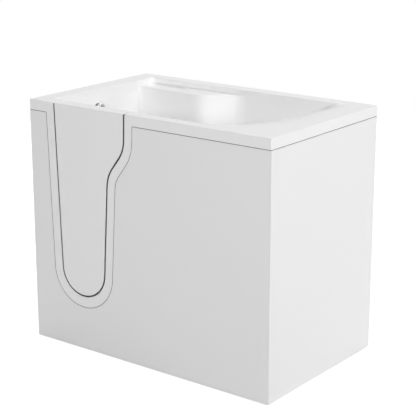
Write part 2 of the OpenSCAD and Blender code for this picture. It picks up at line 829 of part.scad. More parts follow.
// Levelling feet
module at_feet() {
    for (x = foot_x, y = foot_y)
        translate([x, y, 0])
            children();
}
module foot_pads() {
    color(black)
        at_feet()
            difference() {
                union() {
                    cylinder(h = pad_h * 0.6, r = pad_r);
                    translate([0, 0, pad_h * 0.6])
                        cylinder(h = pad_h, r1 = pad_r * 0.8, r2 = stud_r * 1.6);
                }
                translate([0, 0, pad_h * 0.6])
                    cylinder(h = pad_h + 1, r = stud_r + slip_fit);
            }
}
module foot_studs() {
    color(zinc)
        at_feet()
            translate([0, 0, pad_h * 0.6])
                cylinder(h = base_top + nut_h + 3 - pad_h * 0.6, r = stud_r);
}
nut_h = 9;
module foot_nuts() {
    color(zinc)
        at_feet()
            for (z = [base_top - tube_wall - nut_h, base_top])
                translate([0, 0, z])
                    difference() {
                        cylinder(h = nut_h, r = stud_r * 1.6, $fn = 6);
                        translate([0, 0, -1])
                            cylinder(h = nut_h + 2, r = stud_r + slip_fit);
                    }
}

// Waste and overflow
waste_y = overflow_y;
flange_t = 3;
body_r = 24;
body_low = 84;
cup_r = 38;
cup_low = 14;
outlet_z = 36;
outlet_end_y = back_y - 25;
stem_r = 4;
tail_r = body_r - 3;
// The flange in the floor, with a bush on four arms that guides the plug's stem
bush_low = floor_board_low + 4;
module waste_flange() {
    color(chrome)
        difference() {
            union() {
                difference() {
                    union() {
                        rod_z(waste_x, waste_y, floor_z, floor_z + flange_t, waste_r);
                        rod_z(waste_x, waste_y, bush_low, floor_z + flange_t / 2, tail_r);
                    }
                    rod_z(waste_x, waste_y, floor_z + flange_t / 2, floor_z + flange_t + 1, waste_r - 5);
                    rod_z(waste_x, waste_y, bush_low - 1, floor_z + flange_t + 1, tail_r - 3);
                }
                rod_z(waste_x, waste_y, bush_low, bush_low + 10, stem_r + 4);
                for (a = [0, 90])
                    translate([waste_x, waste_y, bush_low + 2])
                        rotate([0, 0, a])
                            translate([-tail_r + 1.5, -1.5, 0])
                                cube([2 * tail_r - 3, 3, 4]);
            }
            rod_z(waste_x, waste_y, bush_low - 1, bush_low + 11, stem_r + slip_fit);
        }
}
module waste_plug() {
    color(chrome)
        union() {
            rod_z(waste_x, waste_y, floor_z + flange_t / 2 + 0.4, floor_z + flange_t + 2.5, waste_r - 6);
            rod_z(waste_x, waste_y, bush_low - plug_lift - 2, floor_z + flange_t, stem_r);
        }
}
overflow_run_z = 118;
socket_wall = 4;
cable_r = 2.5;
cable_y = overflow_y + overflow_pipe_r + socket_wall + cable_r + 1;
cable_run_z = overflow_run_z + 12;
cable_end = waste_x - body_r - 8;
cable_top = overflow_z - 26;
module waste_body() {
    color(plastic)
        difference() {
            union() {
                rod_z(waste_x, waste_y, body_low, floor_z - shell_t, body_r);
                rod_x(waste_x - body_r - 22, waste_x, waste_y, overflow_run_z, overflow_pipe_r + socket_wall);
                rod_x(cable_end, waste_x, cable_y, cable_run_z, cable_r + 2);
            }
            rod_z(waste_x, waste_y, body_low - 1, floor_z, body_r - 2.7);
            rod_x(waste_x - body_r - 23, waste_x, waste_y, overflow_run_z, overflow_pipe_r + slip_fit);
        }
}
cup_top = body_low - 10;
collar_t = 4;
stub_y = waste_y + cup_r + 30;
socket_y = stub_y - 25;
spigot_l = 46;
module waste_trap() {
    color(plastic)
        difference() {
            union() {
                rod_z(waste_x, waste_y, cup_low, cup_top, cup_r);
                rod_z(waste_x, waste_y, cup_top, body_low + 10, body_r + collar_t);
                rod_y(waste_x, waste_y, stub_y, outlet_z, pipe_r + collar_t);
            }
            rod_z(waste_x, waste_y, cup_low + pipe_wall, cup_top - pipe_wall, cup_r - pipe_wall);
            rod_z(waste_x, waste_y, cup_top - pipe_wall - 1, body_low + 11, body_r + seat_fit);
            rod_y(waste_x, waste_y, stub_y, outlet_z, pipe_r - pipe_wall);
            rod_y(waste_x, socket_y, stub_y + 1, outlet_z, pipe_r + slip_fit);
        }
}
module drain_pipe() {
    color(plastic)
        difference() {
            union() {
                rod_y(waste_x, socket_y + 1, outlet_end_y, outlet_z, pipe_r);
                rod_y(waste_x, outlet_end_y - spigot_l - collar_t, outlet_end_y - spigot_l, outlet_z, pipe_r + collar_t - 1);
            }
            rod_y(waste_x, socket_y, outlet_end_y + 1, outlet_z, pipe_r - pipe_wall);
        }
}
nut_t = 6;
// One nut clamps the trap to the waste body, the other clamps the drain pipe
module trap_nuts() {
    color(plastic) {
        difference() {
            rod_z(waste_x, waste_y, body_low + 10, body_low + 10 + nut_t, body_r + collar_t + 3);
            rod_z(waste_x, waste_y, body_low + 9, body_low + 11 + nut_t, body_r + seat_fit);
        }
        difference() {
            rod_y(waste_x, stub_y, stub_y + nut_t, outlet_z, pipe_r + collar_t + 3);
            rod_y(waste_x, stub_y - 1, stub_y + nut_t + 1, outlet_z, pipe_r + seat_fit);
        }
    }
}

plate_t = 3;
body_back_x = wall_left - shell_t;
drop_x = body_back_x - 24;
bend_r = 30;
face_x = wall_left + seat_fit;
hub_r = 7;
spoke_w = 3;
spindle_knob_r = 4;
knob_gap = 7;
// A ring with a hub on three arms: the water runs in between them, behind the knob
module overflow_rosette() {
    color(chrome)
        difference() {
            union() {
                difference() {
                    rod_x(face_x, face_x + plate_t, overflow_y, overflow_z, knob_r + 2);
                    rod_x(face_x - 1, face_x + plate_t + 1, overflow_y, overflow_z, overflow_hole_r - 1);
                }
                rod_x(face_x, face_x + plate_t, overflow_y, overflow_z, hub_r);
                for (a = [0, 120, 240])
                    translate([face_x, overflow_y, overflow_z])
                        rotate([a, 0, 0])
                            translate([0, -spoke_w / 2, 0])
                                cube([plate_t, spoke_w, overflow_hole_r + 1]);
            }
            rod_x(face_x - 1, face_x + plate_t + 1, overflow_y, overflow_z, spindle_knob_r + slip_fit);
        }
}
knob_t = 8;
module overflow_knob() {
    start = face_x + plate_t + seat_fit;
    color(chrome)
        union() {
            rod_x(start, start + knob_gap + 1, overflow_y, overflow_z, hub_r);
            rod_x(start + knob_gap, start + knob_gap + knob_t, overflow_y, overflow_z, knob_r);
            rod_x(body_back_x - 12, start + 1, overflow_y, overflow_z, spindle_knob_r);
        }
}
module overflow_body() {
    color(plastic)
        difference() {
            union() {
                rod_x(body_back_x - 38, body_back_x, overflow_y, overflow_z, overflow_hole_r + 8);
                rod_z(drop_x, overflow_y, overflow_z - 50, overflow_z, overflow_pipe_r + socket_wall);
                rod_z(drop_x, cable_y, cable_top, overflow_z, cable_r + 2);
            }
            rod_x(body_back_x - 34, body_back_x + 1, overflow_y, overflow_z, overflow_hole_r + 4);
            rod_z(drop_x, overflow_y, overflow_z - 51, overflow_z, overflow_pipe_r + slip_fit);
        }
}
// A pipe that runs down from the overflow, bends and runs on to the waste body
module drop_pipe(x, y, top, low, end_x, r, bend) {
    union() {
        rod_z(x, y, low + bend, top, r);
        translate([x + bend, y, low + bend])
            rotate([90, 0, 0])
                rotate([0, 0, 180])
                    rotate_extrude(angle = 90)
                        translate([bend, 0])
                            circle(r = r);
        rod_x(x + bend, end_x, y, low, r);
    }
}
module overflow_pipe() {
    color(plastic)
        difference() {
            drop_pipe(drop_x, overflow_y, overflow_z - 20, overflow_run_z, waste_x - body_r - 2, overflow_pipe_r, bend_r);
            rod_z(drop_x, overflow_y, overflow_run_z + bend_r + 10, overflow_z, overflow_pipe_r - pipe_wall);
        }
}
module pull_cable() {
    color(black)
        drop_pipe(drop_x, cable_y, cable_top - seat_fit, cable_run_z, cable_end - seat_fit, cable_r, 45);
}

// Brackets that hold the rim to the wall
bracket_x = 300;
bracket_w = 50;
bracket_t = 3;
bracket_h = 77;
bracket_low = fascia_low - bracket_h;
bracket_hole_z = bracket_low + 25;
bracket_hole_r = 4.5;
module wall_brackets() {
    rail_low = deck_low - tube_s;
    step = fascia_low - 1;
    profile = [
        [base_back - tube_s, rail_low],
        [base_back - tube_s, step - bracket_t],
        [back_y - bracket_t, step - bracket_t],
        [back_y - bracket_t, bracket_low],
        [back_y, bracket_low],
        [back_y, step],
        [base_back - tube_s + bracket_t, step],
        [base_back - tube_s + bracket_t, rail_low]
    ];
    color(zinc)
        for (x = [-bracket_x, bracket_x])
            difference() {
                translate([x - bracket_w / 2, 0, 0])
                    rotate([90, 0, 90])
                        linear_extrude(bracket_w)
                            polygon(profile);
                rod_y(x, back_y - bracket_t - 1, back_y + 1, bracket_hole_z, bracket_hole_r);
            }
}

tub_shell();
door_outer();
door_inner();
door_core();
door_seal();
hinge_leaf_frame();
hinge_leaf_door();
hinge_pin();
latch_handle();
latch_rosette();
upper_bolt();
lower_bolt();
bolt_guides();
bolt_keepers();
front_panel();
side_panel();
panel_brackets();
base_frame();
top_frame();
seat_supports();
floor_bearers();
floor_board();
seat_board();
foot_studs();
foot_nuts();
foot_pads();
waste_flange();
waste_plug();
waste_body();
waste_trap();
drain_pipe();
trap_nuts();
overflow_rosette();
overflow_knob();
overflow_body();
overflow_pipe();
pull_cable();
wall_brackets();
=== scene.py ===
"""The looks of a sit-in bathtub with a boot-shaped door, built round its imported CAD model."""

import math
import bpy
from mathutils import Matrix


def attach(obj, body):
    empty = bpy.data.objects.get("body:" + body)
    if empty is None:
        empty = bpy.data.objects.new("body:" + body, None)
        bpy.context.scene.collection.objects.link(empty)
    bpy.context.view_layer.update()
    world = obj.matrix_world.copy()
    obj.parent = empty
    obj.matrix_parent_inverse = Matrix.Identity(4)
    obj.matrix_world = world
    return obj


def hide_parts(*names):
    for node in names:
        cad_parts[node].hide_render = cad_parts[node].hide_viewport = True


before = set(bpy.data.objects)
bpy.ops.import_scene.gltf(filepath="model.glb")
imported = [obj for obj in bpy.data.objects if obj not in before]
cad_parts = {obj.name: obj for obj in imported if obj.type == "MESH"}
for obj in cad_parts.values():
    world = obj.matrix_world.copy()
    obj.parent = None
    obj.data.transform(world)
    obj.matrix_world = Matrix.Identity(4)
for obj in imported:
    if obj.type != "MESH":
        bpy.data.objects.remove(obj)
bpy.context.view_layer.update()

from types import SimpleNamespace

import bmesh
import bpy
from bpy.props import FloatProperty, FloatVectorProperty, PointerProperty
from bpy.types import Operator, Panel, PropertyGroup
from mathutils import Vector

bl_info = {
    "name": "Sit-in bathtub",
    "version": (1, 0, 0),
    "blender": (4, 5, 0),
    "location": "3D View > Sidebar > Bathtub",
    "description": "Builds a short, deep bathtub with a seat and a boot-shaped door",
    "category": "Add Mesh",
}

MM = 0.001


# ---------------------------------------------------------------- sizes and colours

def length(name, description, default):
    return FloatProperty(
        name=name, description=description, default=default, unit="LENGTH", precision=4)


def colour(name, description, default):
    return FloatVectorProperty(
        name=name, description=description, default=default, size=3, min=0, max=1, subtype="COLOR")


class TubSizes(PropertyGroup):
    rim_length: length("Length", "Length of the rim", 1.050)
    rim_width: length("Width", "Width of the rim", 0.650)
    height: length("Height", "Height of the deck above the floor", 0.905)
    wall: length("Wall", "Thickness of the acrylic", 0.005)
    fascia: length("Fascia", "Height of the fascia that hangs from the deck", 0.038)
    rim_round: length("Rim edge", "Radius of the rim's outer edges", 0.003)
    basin_round: length("Basin edge", "Radius of the basin's edge at the deck", 0.004)
    deck_left: length("Deck left", "Width of the deck at the left end", 0.072)
    deck_front: length("Deck front", "Width of the deck along the front", 0.054)
    deck_back: length("Deck back", "Width of the deck along the back", 0.052)
    deck_right: length("Deck right", "Width of the deck beyond the backrest", 0.038)
    roll_length: length("Roll length", "Length of the soft roll into the backrest, at the front", 0.190)
    roll_back_length: length("Roll length, back", "Length of the soft roll at the back", 0.092)
    roll_drop: length("Roll drop", "Drop of the soft roll", 0.044)
    shelf_drop: length("Shelf depth", "Depth of the back shelf below the deck", 0.022)
    shelf_width: length("Shelf width", "Width of the back shelf", 0.086)
    tray_drop: length("Soap tray", "Depth of the soap tray in the shelf", 0.004)
    floor_height: length("Floor", "Height of the footwell floor", 0.160)
    seat_height: length("Seat", "Height of the seat", 0.575)
    seat_edge: length("Seat edge", "Place of the seat's front edge along the tub", -0.110)


class DoorSizes(PropertyGroup):
    left: length("Left edge", "Left edge of the gap at the deck", -0.4092)
    top_width: length("Width at the top", "Width of the gap at the deck", 0.3267)
    foot_width: length("Width at the foot", "Width of the gap at the sill", 0.1933)
    lean: length("Lean", "Lean of the hinged edge", 0.0246)
    sill: length("Sill", "Height of the lowest point of the gap", 0.2073)
    step_low: length("Step, low end", "Height at which the leg ends", 0.675)
    step_high: length("Step, high end", "Height at which the wide part starts", 0.774)
    gap: length("Gap", "Width of the gap round the door", 0.005)
    draft: length("Draft", "How far the sides draw in from front to back", 0.014)
    edge_round: length("Edge", "Radius of the edges on both sides of the gap", 0.004)
    frame_width: length("Frame", "Width of the moulded frame round the door", 0.034)
    frame_foot: length("Frame foot", "Extra width of the frame below the door", 0.005)
    # The linings are thin dark rubber sheets on both sides of the door gap, there mostly as painted shade: they
    # darken the gap as its shadow would.
    shade_lining: length("Lining", "Thickness of the dark lining in the gap", 0.0006)
    shade_lining_tub: length("Lining, jamb", "Depth at which the lining of the jamb starts", 0.0021)
    shade_lining_door: length("Lining, door", "Depth at which the lining of the door starts", 0.0042)
    bolt_radius: length("Bolt way", "Radius of the bolts' ways through the door's edge", 0.0074)
    keeper_radius: length("Keeper hole", "Radius of the keepers' holes in the jamb", 0.0108)
    bolt_high_drop: length("Upper bolt", "Depth of the upper bolt below the deck", 0.070)
    bolt_low_drop: length("Lower bolt", "Depth of the lower bolt below the deck", 0.465)
    bolt_high_edge: length("Upper bolt's edge", "Where the upper bolt leaves the door", -0.0941)
    bolt_low_edge: length("Lower bolt's edge", "Where the lower bolt leaves the door", -0.1866)


class PanelSizes(PropertyGroup):
    thickness: length("Thickness", "Thickness of the panels", 0.005)
    gap: length("Shadow gap", "Gap between the fascia and the panels", 0.002)
    foot: length("Foot", "Height of the panels above the floor", 0.003)
    turned: length("Turned edge", "Width of the edge that each panel turns back", 0.024)
    joint: length("Joint", "Joint between the front panel and the door frame", 0.0018)
    edge_round: length("Edge", "Radius of the panels' edges", 0.0012)
    # The gaskets are dark rubber strips set just behind the joints and the shadow gap, as painted shade that
    # darkens these lines.
    shade_gasket_depth: length("Gasket", "Depth of the dark gasket in the joints", 0.0006)


class Finishes(PropertyGroup):
    acrylic: colour("Acrylic", "Colour of the moulded tub and door", (0.955, 0.955, 0.955))
    panel: colour("Panels", "Colour of the panels", (0.92, 0.92, 0.92))
    # The rubber colour is the real door seal's, and also the painted shade of the dark linings and gaskets in
    # the gaps.
    rubber: colour("Rubber", "Colour of the door seal, linings and gaskets", (0.08, 0.081, 0.083))
    chrome: colour("Chrome", "Colour of the chromed pieces", (0.50, 0.51, 0.53))
    hinge: colour("Hinge", "Colour of the dark-plated hinge in the door gap", (0.09, 0.09, 0.095))
    zinc: colour("Zinc", "Colour of the zinc-plated steel", (0.50, 0.51, 0.53))
    pipe: colour("Pipes", "Colour of the waste pipes", (0.70, 0.70, 0.68))
    # The dark plastic colour also serves the disc on the overflow knob's face, which is a painted dark
    # reflection.
    dark_plastic: colour("Dark plastic", "Colour of the foot pads and the cable", (0.022, 0.022, 0.024))
    board: colour("Boards", "Colour of the wooden boards", (0.52, 0.36, 0.20))
    foam: colour("Foam", "Colour of the foam in the door", (0.74, 0.66, 0.44))


# ---------------------------------------------------------------- outlines

def corner_arc(before, at, after, t, steps):
    """Points of the arc that rounds a corner, starting and ending t away from it."""
    if t == 0:
        return [at.copy()]
    back, on = (before - at).normalized(), (after - at).normalized()
    w = math.sqrt(max(0.0, (1 - back.dot(on)) / 2))
    a, c = at + back * t, at + on * t
    points = []
    for k in range(steps + 1):
        s = k / steps
        p, q, r = (1 - s) ** 2, 2 * s * (1 - s) * w, s * s
        points.append((a * p + at * q + c * r) / (p + q + r))
    return points


def rounded(corners, steps, along=0):
    """The outline through corners (point, t), with extra points along its straight edges."""
    points = []
    n = len(corners)
    for i, (at, t) in enumerate(corners):
        arc = corner_arc(corners[i - 1][0], at, corners[(i + 1) % n][0], t, steps)
        if along and points:
            points += between(points[-1], arc[0], along)
        points += arc
    if along:
        points += between(points[-1], points[0], along)
    return points


def between(a, b, count):
    return [a.lerp(b, (k + 1) / (count + 1)) for k in range(count)]


def inset(corners, s):
    """The outline moved inwards by s, with its arcs kept parallel."""
    n = len(corners)
    moved = []
    for i in range(n):
        a, (b, t), c = corners[i - 1][0], corners[i], corners[(i + 1) % n][0]
        u, w = (b - a).normalized(), (c - b).normalized()
        share = 1 + u.dot(w)
        turn = (u.x * w.y - u.y * w.x) / share
        left = Vector((-u.y - w.y, u.x + w.x))
        moved.append((b + left * (s / share), 0 if t == 0 else max(0.5 * MM, t - s * turn)))
    return moved


# ---------------------------------------------------------------- meshes

def mesh_object(name, points, faces, material=None):
    mesh = bpy.data.meshes.new(name)
    mesh.from_pydata([tuple(p) for p in points], [], faces)
    mesh.validate()
    mesh.update()
    obj = bpy.data.objects.new(name, mesh)
    bpy.context.scene.collection.objects.link(obj)
    if material:
        mesh.materials.append(material)
    return obj


def loft(name, rings, material=None):
    """A solid through rings with the same number of points."""
    n = len(rings[0])
    points = [p for ring in rings for p in ring]
    faces = []
    for k in range(len(rings) - 1):
        for i in range(n):
            j = (i + 1) % n
            faces.append((k * n + i, k * n + j, (k + 1) * n + j, (k + 1) * n + i))
    faces.append(tuple(range(n - 1, -1, -1)))
    faces.append(tuple(range((len(rings) - 1) * n, len(rings) * n)))
    obj = mesh_object(name, points, faces, material)
    outward(obj)
    return obj


def block(name, low, high):
    """A box from its lower to its upper corner."""
    ring = [(low[0], low[1]), (high[0], low[1]), (high[0], high[1]), (low[0], high[1])]
    return loft(name, [[Vector((x, y, z)) for x, y in ring] for z in (low[2], high[2])])


def outward(obj):
    bm = bmesh.new()
    bm.from_mesh(obj.data)
    bmesh.ops.recalc_face_normals(bm, faces=bm.faces)
    bm.to_mesh(obj.data)
    bm.free()


def cut(obj, other, operation="DIFFERENCE"):
    """Cuts another mesh out of obj, or joins it on, and removes the other."""
    modifier = obj.modifiers.new("cut", "BOOLEAN")
    modifier.operation = operation
    modifier.solver = "EXACT"
    modifier.object = other
    apply_modifiers(obj)
    bpy.data.objects.remove(other)


def apply_modifiers(obj):
    bpy.context.view_layer.update()
    shown = obj.evaluated_get(bpy.context.evaluated_depsgraph_get())
    mesh = bpy.data.meshes.new_from_object(shown)
    old = obj.data
    obj.modifiers.clear()
    obj.data = mesh
    mesh.name = obj.name
    bpy.data.meshes.remove(old)
    if not mesh.polygons:
        raise RuntimeError(obj.name + " has no faces left")


def smooth(obj, degrees):
    """Smooth shading with sharp edges above an angle, and flat faces kept flat."""
    bm = bmesh.new()
    bm.from_mesh(obj.data)
    bmesh.ops.remove_doubles(bm, verts=bm.verts, dist=1e-6)
    bmesh.ops.dissolve_degenerate(bm, edges=bm.edges, dist=1e-6)
    bm.to_mesh(obj.data)
    bm.free()
    obj.data.shade_smooth()
    obj.data.set_sharp_from_angle(angle=math.radians(degrees))
    modifier = obj.modifiers.new("flat faces", "WEIGHTED_NORMAL")
    modifier.mode = "FACE_AREA"
    modifier.keep_sharp = True
    modifier.weight = 100


def spin(name, profile, place, axis, material=None, segments=64):
    """A turned piece: profile is (distance along the axis, radius) from one end to the other."""
    turn = Vector((0, 0, 1)).rotation_difference(Vector(axis)).to_matrix()
    rings = []
    for h, r in profile:
        rings.append([
            Vector(place) + turn @ Vector((r * math.cos(a), r * math.sin(a), h))
            for a in (2 * math.pi * k / segments for k in range(segments))
        ])
    obj = loft(name, rings, material)
    smooth(obj, 40)
    return obj


def turned_edge(h0, h1, r, edge, steps=4):
    """Profile of a disc with round edges, from h0 to h1."""
    quarter = round_edge(edge, steps)
    low = [(h0 + depth, r - off) for off, depth in quarter]
    high = [(h1 - depth, r - off) for off, depth in reversed(quarter)]
    return low + high


def arc_angles(steps):
    return [math.pi / 2 * k / steps for k in range(steps + 1)]


def round_edge(r, steps):
    """A quarter-round edge of radius r: how far off the side each point lies, and its depth."""
    return [(r * (1 - math.sin(a)), r * (1 - math.cos(a))) for a in arc_angles(steps)]


# ---------------------------------------------------------------- materials

def socket_group(name, inputs, outputs):
    group = bpy.data.node_groups.new(name, "ShaderNodeTree")
    for sockets, side in ((inputs, "INPUT"), (outputs, "OUTPUT")):
        for label, kind in sockets:
            group.interface.new_socket(label, in_out=side, socket_type=kind)
    return group, group.nodes.new("NodeGroupInput"), group.nodes.new("NodeGroupOutput")


def finish_group():
    """Varied Finish: slight changes of shade and roughness over the surface, with fine relief."""
    name = "Varied Finish"
    if name in bpy.data.node_groups:
        return bpy.data.node_groups[name]
    group, given, out = socket_group(
        name,
        [("Color", "NodeSocketColor"), ("Shade", "NodeSocketFloat"), ("Roughness", "NodeSocketFloat"),
         ("Roughness Change", "NodeSocketFloat"), ("Size", "NodeSocketFloat"),
         ("Fine Size", "NodeSocketFloat")],
        [("Color", "NodeSocketColor"), ("Roughness", "NodeSocketFloat"), ("Height", "NodeSocketFloat")])
    nodes, links = group.nodes, group.links
    place = nodes.new("ShaderNodeTexCoord")
    broad = nodes.new("ShaderNodeTexNoise")
    broad.inputs["Detail"].default_value = 3
    fine = nodes.new("ShaderNodeTexNoise")
    fine.inputs["Detail"].default_value = 2
    links.new(place.outputs["Object"], broad.inputs["Vector"])
    links.new(place.outputs["Object"], fine.inputs["Vector"])
    links.new(given.outputs["Size"], broad.inputs["Scale"])
    links.new(given.outputs["Fine Size"], fine.inputs["Scale"])
    centred = math_node(nodes, links, "SUBTRACT", broad.outputs["Fac"], 0.5)
    shade = math_node(nodes, links, "MULTIPLY", centred, given.outputs["Shade"])
    factor = math_node(nodes, links, "ADD", shade, 1.0)
    tint = nodes.new("ShaderNodeVectorMath")
    tint.operation = "SCALE"
    links.new(given.outputs["Color"], tint.inputs[0])
    links.new(factor, tint.inputs["Scale"])
    links.new(tint.outputs[0], out.inputs["Color"])
    change = math_node(nodes, links, "MULTIPLY", centred, given.outputs["Roughness Change"])
    rough = math_node(nodes, links, "ADD", change, given.outputs["Roughness"])
    links.new(rough, out.inputs["Roughness"])
    links.new(fine.outputs["Fac"], out.inputs["Height"])
    return group


def math_node(nodes, links, operation, a, b):
    node = nodes.new("ShaderNodeMath")
    node.operation = operation
    for k, value in enumerate((a, b)):
        if isinstance(value, (int, float)):
            node.inputs[k].default_value = value
        else:
            links.new(value, node.inputs[k])
    return node.outputs[0]


def finish_material(name, tint, rough, change, shade, size, fine, bump, metallic=0.0, level=0.5):
    """A Principled material whose shade, roughness and relief come from the Varied Finish group."""
    material = bpy.data.materials.new(name)
    material.use_nodes = True
    nodes, links = material.node_tree.nodes, material.node_tree.links
    shader = nodes["Principled BSDF"]
    effect = nodes.new("ShaderNodeGroup")
    effect.node_tree = finish_group()
    for socket, value in (("Color", (*tint, 1)), ("Shade", shade), ("Roughness", rough),
                          ("Roughness Change", change), ("Size", size), ("Fine Size", fine)):
        effect.inputs[socket].default_value = value
    relief = nodes.new("ShaderNodeBump")
    relief.inputs["Strength"].default_value = bump
    relief.inputs["Distance"].default_value = 1 * MM
    links.new(effect.outputs["Height"], relief.inputs["Height"])
    links.new(relief.outputs["Normal"], shader.inputs["Normal"])
    links.new(effect.outputs["Color"], shader.inputs["Base Color"])
    links.new(effect.outputs["Roughness"], shader.inputs["Roughness"])
    shader.inputs["Metallic"].default_value = metallic
    shader.inputs["Specular IOR Level"].default_value = level
    return material


def multiply_colour(material, pattern, elements):
    """Multiplies the base colour by a ramp over a pattern; elements are (position, colour)."""
    nodes, links = material.node_tree.nodes, material.node_tree.links
    ramp = nodes.new("ShaderNodeValToRGB")
    for element, (position, tint) in zip(ramp.color_ramp.elements, elements):
        element.position, element.color = position, (*tint, 1)
    links.new(pattern, ramp.inputs["Fac"])
    mix = nodes.new("ShaderNodeMix")
    mix.data_type = "RGBA"
    mix.blend_type = "MULTIPLY"
    mix.inputs["Factor"].default_value = 1
    group = next(n for n in nodes if n.type == "GROUP")
    links.new(group.outputs["Color"], mix.inputs["A"])
    links.new(ramp.outputs["Color"], mix.inputs["B"])
    links.new(mix.outputs["Result"], nodes["Principled BSDF"].inputs["Base Color"])


def add_spangle(material):
    """Pale crystals of the zinc plating."""
    nodes, links = material.node_tree.nodes, material.node_tree.links
    place = nodes.new("ShaderNodeTexCoord")
    cells = nodes.new("ShaderNodeTexVoronoi")
    cells.inputs["Scale"].default_value = 160
    links.new(place.outputs["Object"], cells.inputs["Vector"])
    multiply_colour(material, cells.outputs["Color"], ((0, (0.88, 0.89, 0.90)), (1, (1, 1, 1))))


def add_grain(material):
    """Long grain of plywood with darker streaks."""
    nodes, links = material.node_tree.nodes, material.node_tree.links
    place = nodes.new("ShaderNodeTexCoord")
    along = nodes.new("ShaderNodeMapping")
    along.inputs["Scale"].default_value = (3, 60, 60)
    links.new(place.outputs["Object"], along.inputs["Vector"])
    grain = nodes.new("ShaderNodeTexNoise")
    grain.inputs["Scale"].default_value = 4
    grain.inputs["Detail"].default_value = 6
    links.new(along.outputs["Vector"], grain.inputs["Vector"])
    multiply_colour(material, grain.outputs["Fac"], ((0.3, (0.62, 0.55, 0.46)), (0.7, (1, 1, 1))))


# For each colour in Finishes: the material's name and its values for finish_material.
MATERIALS = {
    "acrylic": ("moulded acrylic", dict(
        rough=0.30, change=0.02, shade=0.006, size=5, fine=220, bump=0.002, level=0.06)),
    "panel": ("coated panel", dict(
        rough=0.30, change=0.02, shade=0.006, size=4, fine=500, bump=0.003, level=0.06)),
    "rubber": ("seal rubber", dict(rough=0.75, change=0.1, shade=0.15, size=30, fine=900, bump=0.12)),
    "foam": ("rigid foam", dict(rough=0.85, change=0.1, shade=0.18, size=90, fine=1400, bump=0.3)),
    "chrome": ("chrome", dict(
        rough=0.09, change=0.04, shade=0.05, size=20, fine=300, bump=0.004, metallic=1.0)),
    "hinge": ("dark-plated steel", dict(
        rough=0.42, change=0.1, shade=0.12, size=25, fine=500, bump=0.03, metallic=1.0)),
    "pipe": ("waste pipe plastic", dict(
        rough=0.38, change=0.1, shade=0.05, size=15, fine=500, bump=0.05)),
    "dark_plastic": ("dark plastic", dict(
        rough=0.5, change=0.15, shade=0.3, size=30, fine=700, bump=0.1)),
    "zinc": ("zinc-plated steel", dict(
        rough=0.38, change=0.14, shade=0.10, size=14, fine=350, bump=0.05, metallic=1.0)),
    "board": ("plywood", dict(rough=0.6, change=0.15, shade=0.2, size=8, fine=600, bump=0.15)),
}
PATTERNS = {"zinc": add_spangle, "board": add_grain}


def finish(key):
    """The material for a colour in Finishes, made once."""
    name, values = MATERIALS[key]
    if name not in bpy.data.materials:
        tint = getattr(bpy.context.scene.tub_finishes, key)
        material = finish_material(name, tint, **values)
        if key in PATTERNS:
            PATTERNS[key](material)
    return bpy.data.materials[name]


def paint_nodes(material, *names):
    """Gives carried-over CAD nodes their finish."""
    for name in names:
        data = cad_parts[name].data
        data.materials.clear()
        data.materials.append(material)
        data.shade_smooth()
        data.set_sharp_from_angle(angle=math.radians(28))


# ---------------------------------------------------------------- the basin

# The roll's arcs and bulge are in millimetres, and what carries MM is in metres.
LEFT_DRAFT = 12 * MM           # how far the left wall draws in
BACKREST_IN = 43 * MM          # from the end of the roll to the backrest
DIAGONAL_BACK_X = -24 * MM     # the diagonal wall between the back and the shelf's end
DIAGONAL_SHELF_X = -150 * MM
ROLL_ARC, ROLL_ARC_GROWTH, ROLL_ARC_POWER = 165, 175, 0.64
ROLL_BACK_ARC, ROLL_BACK_GROWTH = 23, 34
ROLL_BULGE = 14                # how far the front edge swells where the roll starts
BASIN_STEPS = 10, 5            # points in an arc, and between two arcs


def basin_places(s):
    """Planes and lines that the basin's rings share."""
    left = -s.rim_length / 2 + s.deck_left
    back = s.rim_width / 2 - s.deck_back
    right = s.rim_length / 2 - s.deck_right
    return SimpleNamespace(
        left=left, front=-s.rim_width / 2 + s.deck_front, back=back, right=right,
        shelf_y=back - s.shelf_width, shelf_z=s.height - s.shelf_drop,
        wall_left=left + LEFT_DRAFT, backrest=right - s.roll_length - BACKREST_IN)


